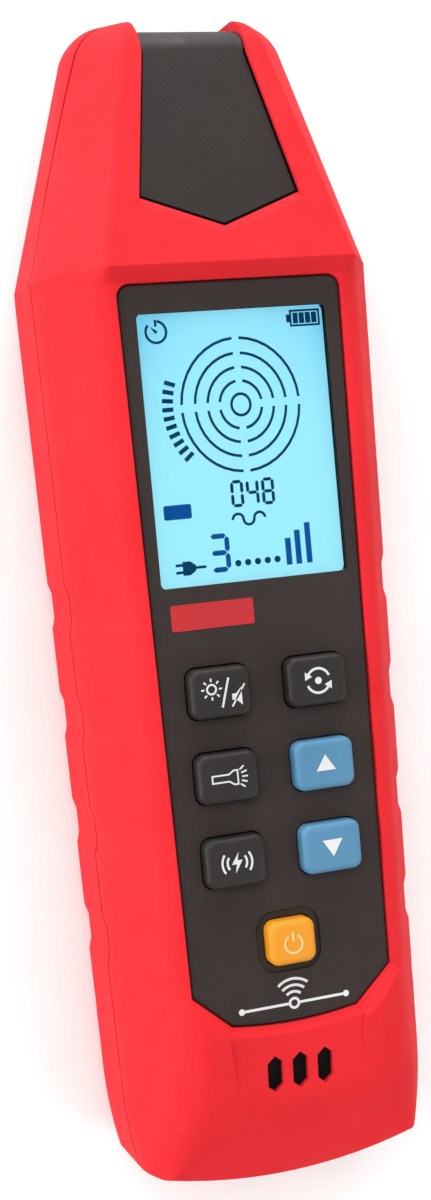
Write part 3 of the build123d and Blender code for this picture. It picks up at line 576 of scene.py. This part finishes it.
nodeFinishes = {
    "front_shell": redFinish, "rear_shell": redFinish, "battery_door": redFinish,
    "head_cap": capFinish, "face_panel": panelFinish,
    "torch_lens": torchFinish, "display_lens": windowFinish, "torch_lamp": lampFinish,
    "display_glass": glowFinish, "display_guide": whiteFinish, "display_frame": whiteFinish,
    "contact_strip": rubberFinish, "keypad_mat": rubberFinish,
    "key_contacts": copperFinish, "main_board": greenFinish, "board_chips": resinFinish,
    "board_screws": steelFinish, "case_screws": steelFinish,
    "speaker": canFinish, "speaker_cloth": meshClothFinish,
    "ferrite_rod": ferriteFinish, "coil_bobbin": resinFinish, "coil_winding": copperFinish,
    "field_plate": copperFinish, "battery_contacts": nickelFinish,
    "light_key": darkKeyFinish, "torch_key": darkKeyFinish, "sense_key": darkKeyFinish,
    "mode_key": darkKeyFinish, "up_key": blueKeyFinish, "down_key": blueKeyFinish,
    "power_key": orangeKeyFinish,
    "battery_cell_1": jacketFinish, "battery_cell_2": jacketFinish, "battery_cell_3": jacketFinish,
}


def dressNodes():
    for name, finish in nodeFinishes.items():
        mesh = nodes[name].data
        mesh.materials.clear()
        mesh.materials.append(finish)


dressNodes()
print("finishes on", len(nodeFinishes), "nodes")


# flat marks, drawn in millimetres and raised to a thin print
roundness = {"disc": 20, "joint": 10, "arcStep": 9, "leastSteps": 4}  # arcStep in degrees
segmentCut = 0.12  # what a digit's segment leaves free at each end, as a share of its width


def outward(degrees):
    turn = math.radians(degrees)
    return Vector((math.cos(turn), math.sin(turn)))


def addBar(bm, x, y, width, height, turn=0.0):
    size = Matrix.Diagonal((width, height, 1, 1))
    place = Matrix.Translation((x, y, 0)) @ Matrix.Rotation(turn, 4, "Z") @ size
    bmesh.ops.create_grid(bm, x_segments=1, y_segments=1, size=0.5, matrix=place)  # size is half a side


def roundCorners(bm, radius, segments):
    # of all that is in the bmesh so far
    bmesh.ops.bevel(
        bm, geom=bm.verts[:], offset=radius, affect="VERTICES", segments=segments, profile=0.5, material=-1,
    )


def addStroke(bm, start, end, width):
    run = Vector(end) - Vector(start)
    middle = (Vector(start) + Vector(end)) / 2
    addBar(bm, middle.x, middle.y, run.length, width, math.atan2(run.y, run.x))


def addRays(bm, source, turns, reach, width):
    # strokes that point away from the source, from one radius to the other
    source = Vector(source)
    inner, outer = reach
    for degrees in turns:
        out = outward(degrees)
        addStroke(bm, source + out * inner, source + out * outer, width)


def addLine(bm, points, width):
    for start, end in zip(points, points[1:]):
        addStroke(bm, start, end, width)
    for x, y in points[1:-1]:
        addDisc(bm, x, y, width / 2, roundness["joint"])


def addDisc(bm, x, y, radius, steps=roundness["disc"]):
    place = Matrix.Translation((x, y, 0))
    bmesh.ops.create_circle(bm, cap_ends=True, segments=steps, radius=radius, matrix=place)


def addArc(bm, x, y, radius, width, start=0.0, sweep=360.0):
    out = outward(start).to_3d()
    middle = Vector((x, y, 0))
    inner = bm.verts.new(middle + out * (radius - width / 2))
    outer = bm.verts.new(middle + out * (radius + width / 2))
    edge = bm.edges.new((inner, outer))
    steps = max(roundness["leastSteps"], round(abs(sweep) / roundness["arcStep"]))
    bmesh.ops.spin(
        bm, geom=[inner, outer, edge], cent=middle, axis=(0, 0, 1),
        angle=math.radians(sweep), steps=steps, use_merge=abs(sweep) == 360,
    )


def addShape(bm, points, x=0.0, y=0.0):
    return bm.faces.new([bm.verts.new((x + right, y + up, 0)) for right, up in points])


def addOutline(bm, points, line):
    # a shape with its middle taken out
    face = addShape(bm, points)
    face.normal_update()
    bmesh.ops.inset_individual(bm, faces=[face], thickness=line, use_even_offset=True)
    bmesh.ops.delete(bm, geom=[face], context="FACES")


def addSegment(bm, start, end, line):
    # bar with pointed ends
    start, end = Vector(start), Vector(end)
    ahead = (end - start).normalized() * line / 2
    side = Vector((-ahead.y, ahead.x))
    addShape(bm, [
        start, start + ahead - side, end - ahead - side,
        end, end - ahead + side, start + ahead + side,
    ])


def addFrame(bm, x, y, width, height, line):
    # four bars round a box
    for side in (-1, 1):
        addBar(bm, x, y + side * (height - line) / 2, width, line)
        addBar(bm, x + side * (width - line) / 2, y, line, height - 2 * line)


segmentsOf = {
    0: "abcdef", 1: "bc", 2: "abged", 3: "abgcd", 4: "fgbc",
    5: "afgcd", 6: "afgedc", 7: "abc", 8: "abcdefg", 9: "abcdfg",
}


def addDigit(bm, digit, x, y, width, height, line):
    # x, y is the lower left corner, one bar for each lit segment
    left, right = x + line / 2, x + width - line / 2
    low, middle, high = y + line / 2, y + height / 2, y + height - line / 2
    cut = line * segmentCut
    bars = {
        "a": ((left + cut, high), (right - cut, high)),
        "g": ((left + cut, middle), (right - cut, middle)),
        "d": ((left + cut, low), (right - cut, low)),
        "f": ((left, middle + cut), (left, high - cut)),
        "b": ((right, middle + cut), (right, high - cut)),
        "e": ((left, low + cut), (left, middle - cut)),
        "c": ((right, low + cut), (right, middle - cut)),
    }
    for segment in segmentsOf[digit]:
        addSegment(bm, *bars[segment], line)


def raiseMarks(bm, name, finish, body, base, thick, middle=(0, 0), turn=None):
    # base is the surface the print lies on, in metres, and middle the place of its own origin
    bmesh.ops.recalc_face_normals(bm, faces=bm.faces)
    bmesh.ops.scale(bm, vec=(mm, mm, mm), verts=bm.verts)
    raised = bmesh.ops.extrude_face_region(bm, geom=bm.faces[:])
    top = [v for v in raised["geom"] if isinstance(v, bmesh.types.BMVert)]
    bmesh.ops.translate(bm, vec=(0, 0, thick), verts=top)
    if turn:
        bmesh.ops.rotate(bm, matrix=turn, verts=bm.verts)
    bmesh.ops.translate(bm, vec=(middle[0], middle[1], base), verts=bm.verts)
    bmesh.ops.recalc_face_normals(bm, faces=bm.faces)
    placePiece(bm, name, finish, body)


def placePiece(bm, name, finish, body):
    mesh = bpy.data.meshes.new(name)
    bm.to_mesh(mesh)
    bm.free()
    mesh.materials.append(finish)
    piece = bpy.data.objects.new(name, mesh)
    bpy.context.scene.collection.objects.link(piece)
    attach(piece, body)


# what the display shows, in millimetres from the middle of its glass, corners with their segments
displayMarks = {
    "lift": 0.00001, "thick": 0.00003,
    "border": {"line": 0.34, "corner": (1.3, 4)},
    "rings": {
        "place": (0.70, 6.75), "radii": (10.6, 8.2, 5.95, 3.8), "dot": 1.7, "line": 0.45, "gap": 1.25,
        "stretch": (0.975, 1.04, 1),
    },
    "scale": {
        "place": (0.25, 6.85), "radius": 12.3, "start": 160.5, "end": 220.5, "count": 10, "bar": (1.9, 0.72),
    },
    "timer": {
        "place": (-12.85, 19.5), "radius": 1.75, "line": 0.42, "arc": (138, 303), "tick": (0.3, 1.1),
        "hand": ((-1.0, 0.95), (-0.12, -0.32), (0.3, 0.08)),
    },
    "cell": {
        "box": (13.35, 20.4, 5.4, 2.8), "line": 0.34, "tip": (0.6, 1.3),
        "count": 4, "bar": (0.92, 1.80), "slack": 0.3,
    },
    "wave": {"place": (-1.6, -12.2), "radius": 0.95, "line": 0.45, "count": 3},
    "plug": {
        "place": (-11.1, -19.4), "line": 0.45,
        "body": ((-0.9, 1.15), (-0.9, -1.15), (0.4, -1.15), (1.4, -0.45), (1.4, 0.45), (0.4, 1.15)),
        "pins": (-0.6, 0.6), "pin": (-1.5, 1.2), "lead": (2.3, 1.8),
    },
    "reading": {"digits": (0, 4, 8), "place": (-2.5, -10.15), "size": (2.25, 4.5, 0.54), "pitch": 2.74},
    "dots": {"place": (-2.3, -19.4), "pitch": 1.75, "count": 5, "radius": 0.55},
    "block": {"box": (-12.0, -10.05, 4.8, 2.4), "corner": (0.35, 3)},
    "level": {"digits": (3,), "place": (-7.3, -20.6), "size": (3.75, 6.4, 0.84), "pitch": 4.5},
    "steps": {"bars": ((6.3, 4.5), (8.05, 5.7), (9.95, 6.8)), "width": 1.0, "base": -20.55},
}


def drawBorder(bm, marks, width, length):
    # printed mask round the edge of the glass
    addBar(bm, 0, 0, width, length)
    roundCorners(bm, *marks["corner"])
    bm.normal_update()
    inside = bm.faces[:]
    bmesh.ops.inset_individual(bm, faces=inside, thickness=marks["line"], use_even_offset=True)
    bmesh.ops.delete(bm, geom=inside, context="FACES")


def drawRings(bm, marks):
    # the first marks in their bmesh, because the stretch takes all of it
    x, y = marks["place"]
    for radius in marks["radii"]:
        gap = math.degrees(marks["gap"] / radius)
        for quarter in range(4):
            addArc(bm, x, y, radius, marks["line"], quarter * 90 + gap / 2, 90 - gap)
    addArc(bm, x, y, marks["dot"], marks["line"])
    middle = Matrix.Translation((-x, -y, 0))
    bmesh.ops.scale(bm, vec=marks["stretch"], space=middle, verts=bm.verts)


def drawScale(bm, marks):
    x, y = marks["place"]
    reach = marks["radius"]
    for i in range(marks["count"]):
        share = i / (marks["count"] - 1)
        angle = math.radians(marks["start"] + share * (marks["end"] - marks["start"]))
        addBar(bm, x + reach * math.cos(angle), y + reach * math.sin(angle), *marks["bar"], angle)


def drawTimer(bm, marks):
    # a dial open at the upper left, with a tick at the top and a hand
    x, y = marks["place"]
    drop, length = marks["tick"]
    addArc(bm, x, y, marks["radius"], marks["line"], *marks["arc"])
    addBar(bm, x, y + marks["radius"] - drop, marks["line"], length)
    addShape(bm, marks["hand"], x, y)


def drawCell(bm, marks):
    x, y, width, height = marks["box"]
    tip = marks["tip"]
    addFrame(bm, x, y, width, height, marks["line"])
    addBar(bm, x - width / 2 - tip[0] / 2, y, *tip)
    pitch = (width - 2 * marks["line"] - marks["slack"]) / marks["count"]
    for i in range(marks["count"]):
        addBar(bm, x + pitch * (i + 0.5 - marks["count"] / 2), y, *marks["bar"])


def drawWave(bm, marks):
    # half turns, up and down by turns
    x, y = marks["place"]
    radius = marks["radius"]
    for i in range(marks["count"]):
        sweep = -180 if i % 2 == 0 else 180
        addArc(bm, x + 2 * radius * i, y, radius, marks["line"], 180, sweep)


def drawPlug(bm, marks):
    x, y = marks["place"]
    addShape(bm, marks["body"], x, y)
    along, length = marks["pin"]
    for side in marks["pins"]:
        addBar(bm, x + along, y + side, length, marks["line"])
    along, length = marks["lead"]
    addBar(bm, x + along, y, length, marks["line"])


def drawDigits(bm, marks):
    left, base = marks["place"]
    for i, digit in enumerate(marks["digits"]):
        addDigit(bm, digit, left + i * marks["pitch"], base, *marks["size"])


def drawDots(bm, marks):
    x, y = marks["place"]
    for i in range(marks["count"]):
        addDisc(bm, x + i * marks["pitch"], y, marks["radius"])


def drawBlock(bm, marks):
    # the first mark in its bmesh, because the rounding takes all of it
    addBar(bm, *marks["box"])
    roundCorners(bm, *marks["corner"])


def drawSteps(bm, marks):
    width = marks["width"]
    for left, height in marks["bars"]:
        addBar(bm, left + width / 2, marks["base"] + height / 2, width, height)


darkSegments = {
    "rings": drawRings, "scale": drawScale, "timer": drawTimer, "cell": drawCell, "wave": drawWave,
    "plug": drawPlug, "reading": drawDigits, "dots": drawDots,
}
blueSegments = {"block": drawBlock, "level": drawDigits, "steps": drawSteps}


def drawDisplay(marks):
    low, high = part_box("display_glass")
    middle = (0, (low.y + high.y) / 2)
    surface, thick = high.z + marks["lift"], marks["thick"]
    bm = bmesh.new()
    drawBorder(bm, marks["border"], (high.x - low.x) / mm, (high.y - low.y) / mm)
    raiseMarks(bm, "display_border", blackPrintAndShadeFinish, "case", surface, thick, middle)
    bm = bmesh.new()
    for mark, draw in darkSegments.items():
        draw(bm, marks[mark])
    raiseMarks(bm, "display_segments", segmentFinish, "case", surface, thick, middle)
    bm = bmesh.new()
    for mark, draw in blueSegments.items():
        draw(bm, marks[mark])
    raiseMarks(bm, "display_blue_segments", segmentBlueFinish, "case", surface, thick, middle)


drawDisplay(displayMarks)
print("display drawn")


# pictures on the keys, in millimetres from the middle of each key
keyThick = 0.00004
lightPicture = {
    "sun": (-1.70, 0.75), "disc": 0.78, "discLine": 0.324, "turns": range(0, 360, 45), "ray": (1.25, 1.8),
    "slash": ((1.35, 2.4), (-0.05, -2.4)), "line": 0.36, "thinLine": 0.288,
    "horn": ((1.75, -0.35), (2.45, -0.35), (3.45, 0.65), (3.45, -2.35), (2.45, -1.35), (1.75, -1.35)),
    "mute": ((4.05, 1.1), (1.65, -2.45)),
}
torchPicture = {
    "outline": (
        (-3.1, 0.72), (-3.1, -0.72), (-0.1, -0.72), (0.75, -1.3),
        (1.6, -1.3), (1.6, 1.3), (0.75, 1.3), (-0.1, 0.72),
    ),
    "line": 0.27, "source": (0.2, 0), "turns": range(-36, 37, 18), "ray": (2.0, 3.0),
}
sensePicture = {
    "spark": ((0.35, 1.75), (-0.95, -0.25), (-0.1, -0.25), (-0.4, -1.75), (0.95, 0.4), (0.05, 0.4)),
    "starts": (144, -36), "sweep": 72, "radii": (1.7, 2.6), "line": 0.36,
}
modePicture = {
    "starts": (20, 200), "sweep": 125, "radius": 2.05, "line": 0.414,
    "tip": 1.2, "barbs": (1.3, 2.8), "dot": 0.6,
}
upPicture = {"points": ((-1.75, -1.05), (1.75, -1.05), (0, 1.65))}
downPicture = {"points": ((-1.8, 1.35), (0, -1.5), (1.8, 1.35))}
powerPicture = {
    "place": (0, -0.25), "radius": 1.55, "arc": (122, 296), "arcLine": 0.342,
    "bar": ((0, 0.1), (0, 1.8)), "line": 0.36,
}


def drawLight(bm, marks):
    # a sun, a stroke and a muted horn
    addArc(bm, *marks["sun"], marks["disc"], marks["discLine"])
    addRays(bm, marks["sun"], marks["turns"], marks["ray"], marks["thinLine"])
    addStroke(bm, *marks["slash"], marks["line"])
    addShape(bm, marks["horn"])
    addStroke(bm, *marks["mute"], marks["thinLine"])


def drawTorch(bm, marks):
    addOutline(bm, marks["outline"], marks["line"])
    addRays(bm, marks["source"], marks["turns"], marks["ray"], marks["line"])


def drawSense(bm, marks):
    # a spark between arcs
    addShape(bm, marks["spark"])
    for start in marks["starts"]:
        for radius in marks["radii"]:
            addArc(bm, 0, 0, radius, marks["line"], start, marks["sweep"])


def drawMode(bm, marks):
    # two arrows chasing each other round a loop
    inner, outer = marks["barbs"]
    for start in marks["starts"]:
        addArc(bm, 0, 0, marks["radius"], marks["line"], start, marks["sweep"])
        out = outward(start + marks["sweep"])
        ahead = Vector((-out.y, out.x))
        addShape(bm, [out * marks["radius"] + ahead * marks["tip"], out * inner, out * outer])
    addDisc(bm, 0, 0, marks["dot"])


def drawArrow(bm, marks):
    addShape(bm, marks["points"])


def drawPower(bm, marks):
    addArc(bm, *marks["place"], marks["radius"], marks["arcLine"], *marks["arc"])
    addStroke(bm, *marks["bar"], marks["line"])


keyPictures = {
    "light_key": (drawLight, lightPicture), "torch_key": (drawTorch, torchPicture),
    "sense_key": (drawSense, sensePicture), "mode_key": (drawMode, modePicture),
    "up_key": (drawArrow, upPicture), "down_key": (drawArrow, downPicture),
    "power_key": (drawPower, powerPicture),
}


def printKeys():
    for name, (draw, marks) in keyPictures.items():
        low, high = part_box(name)
        middle = ((low.x + high.x) / 2, (low.y + high.y) / 2)
        bm = bmesh.new()
        draw(bm, marks)
        ink = creamFinish if name == "power_key" else inkFinish
        raiseMarks(bm, name + "_print", ink, name, high.z, keyThick, middle)


printKeys()
print("keys printed")


# bare red strip under the window and a plain picture of a live cable below the keys,
# in millimetres from the panel's top and from its foot
panelPrint = {
    "strip": (-8.1, -54.45, 14.4, 4.3), "stripCorner": (0.25, 4), "stripThick": 0.00005,
    "cable": (0, 2.9), "cableHalf": 9.4, "endDot": 0.55, "ring": 0.8, "arcs": (1.95, 3.05, 4.15),
    "arcSpan": (50, 80), "line": 0.45, "thick": 0.00003,
}


def printPanel(marks):
    low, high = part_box("face_panel")
    bm = bmesh.new()
    addBar(bm, *marks["strip"])
    roundCorners(bm, *marks["stripCorner"])
    raiseMarks(bm, "badge_strip", stripFinish, "case", high.z, marks["stripThick"], (0, high.y))
    bm = bmesh.new()
    x, y = marks["cable"]
    line, half = marks["line"], marks["cableHalf"]
    for side in (-1, 1):
        start = x + side * (marks["ring"] + line / 2)
        addStroke(bm, (start, y), (x + side * (half - marks["endDot"]), y), line)
        addDisc(bm, x + side * half, y, marks["endDot"])
    addArc(bm, x, y, marks["ring"], line)
    for radius in marks["arcs"]:
        addArc(bm, x, y, radius, line, *marks["arcSpan"])
    raiseMarks(bm, "panel_picture", inkFinish, "case", high.z, marks["thick"], (0, low.y))


printPanel(panelPrint)
print("panel printed")


# painted shadow round the head cap: a black strip laid along its joint, in millimetres along the head's
# slope from the tip of the V
capGapShadow = {
    "slope": 14.71, "tip": 0.05, "corner": (13.72, 5.42), "neck": (9.06, 30.67), "end": 31.4, "line": 0.45,
    "lift": 0.00002, "thick": 0.00003,
}


def layCapGapShadow(marks):
    low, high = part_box("head_cap")
    lean = Matrix.Rotation(math.radians(-marks["slope"]), 3, "X")
    right = [marks["corner"], marks["neck"], (marks["neck"][0], marks["end"])]
    left = [(-x, y) for x, y in reversed(right)]
    bm = bmesh.new()
    addLine(bm, left + [(0, marks["tip"])] + right, marks["line"])
    base = high.z + marks["lift"]
    raiseMarks(bm, "cap_gap_shadow", blackPrintAndShadeFinish, "case", base, marks["thick"], (0, low.y), lean)


layCapGapShadow(capGapShadow)
print("cap lined")


# a bright ring behind the torch glass and the lamp's yellow die, in millimetres from the lamp's axis
torchMarks = {"ring": (2.91, 0.94), "die": 1.7, "dieCorner": (0.3, 3), "gap": 0.00008, "thick": 0.00005}


def fitTorch(marks):
    low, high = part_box("torch_lens")
    axis = (low.z + high.z) / 2
    forward = Matrix.Rotation(math.radians(-90), 3, "X")  # what is raised points along Y
    bm = bmesh.new()
    addArc(bm, 0, 0, *marks["ring"])
    behind = (0, low.y - marks["gap"])
    raiseMarks(bm, "torch_ring", nickelFinish, "case", axis, marks["thick"], behind, forward)
    bm = bmesh.new()
    addBar(bm, 0, 0, marks["die"], marks["die"])
    roundCorners(bm, *marks["dieCorner"])
    low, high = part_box("torch_lamp")
    raiseMarks(bm, "lamp_die", dieFinish, "case", axis, marks["thick"], (0, high.y), forward)


fitTorch(torchMarks)
print("torch fitted")


# on the back a bare label, an arrow on the battery door and black crosses on the screws as painted shade of
# their recesses, raised downwards
backMarks = {
    "label": (0, 19.8, 35.2, 43.2), "labelCorner": (1.2, 4), "labelBase": 0.0003, "labelThick": -0.0002,
    "arrow": (
        (-0.9, -57.0), (-0.9, -62.0), (-2.6, -62.0), (0, -66.0), (2.6, -62.0), (0.9, -62.0), (0.9, -57.0),
    ),
    "arrowThick": -0.0002,
    "screws": ((21.25, -67.0), (23.31, 43.4)), "cross": (2.6, 0.6), "crossTurns": (45, 135),
    "crossThick": -0.00003,
}


def markBack(marks):
    bm = bmesh.new()
    addBar(bm, *marks["label"])
    roundCorners(bm, *marks["labelCorner"])
    base, thick = marks["labelBase"], marks["labelThick"]
    raiseMarks(bm, "back_label", labelFinish, "case", base, thick)
    bm = bmesh.new()
    addShape(bm, marks["arrow"])
    low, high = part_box("battery_door")
    raiseMarks(bm, "door_arrow", redFinish, "battery_door", low.z, marks["arrowThick"])
    # black crosses laid on the screw heads as painted shade of their cross recesses
    bm = bmesh.new()
    for x, y in marks["screws"]:
        for side in (-1, 1):
            for turn in marks["crossTurns"]:
                addBar(bm, side * x, y, *marks["cross"], math.radians(turn))
    low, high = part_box("case_screws")
    raiseMarks(bm, "screw_cross_shade", blackPrintAndShadeFinish, "case", low.z, marks["crossThick"])


markBack(backMarks)
print("back marked")


# pale studio floor, paler still where the lamps no longer reach
floorLook = {
    "half": 6.0, "drop": 0.0001, "low": (0.80, 0.80, 0.80), "high": (0.83, 0.83, 0.83),
    "far": (0.97, 0.97, 0.97), "fade": (0.45, 1.25), "grain": 300.0, "rough": (0.60, 0.70),
}


def layFloor(look):
    bm = bmesh.new()
    place = Matrix.Translation((0, 0, -look["drop"]))
    bmesh.ops.create_grid(bm, x_segments=1, y_segments=1, size=look["half"], matrix=place)
    mesh = bpy.data.meshes.new("studio_floor")
    bm.to_mesh(mesh)
    bm.free()
    finish, tree, shader = startFinish("pale_floor")
    grain = useGroup(tree, grainGroup, Grain=look["grain"])
    near = mixColours(tree, grain.outputs["Tone"], look["low"], look["high"])
    away = addNode(tree, "ShaderNodeVectorMath", operation="LENGTH")
    tree.links.new(objectPlace(tree), away.inputs[0])
    fade = spread(tree, away.outputs["Value"], 0.0, 1.0, *look["fade"])
    tree.links.new(mixColours(tree, fade, near, look["far"]), shader.inputs["Base Color"])
    patchyGloss(tree, shader, grain, look["rough"])
    mesh.materials.append(finish)
    floor = bpy.data.objects.new("studio_floor", mesh)
    bpy.context.scene.collection.objects.link(floor)


layFloor(floorLook)
print("scene done")
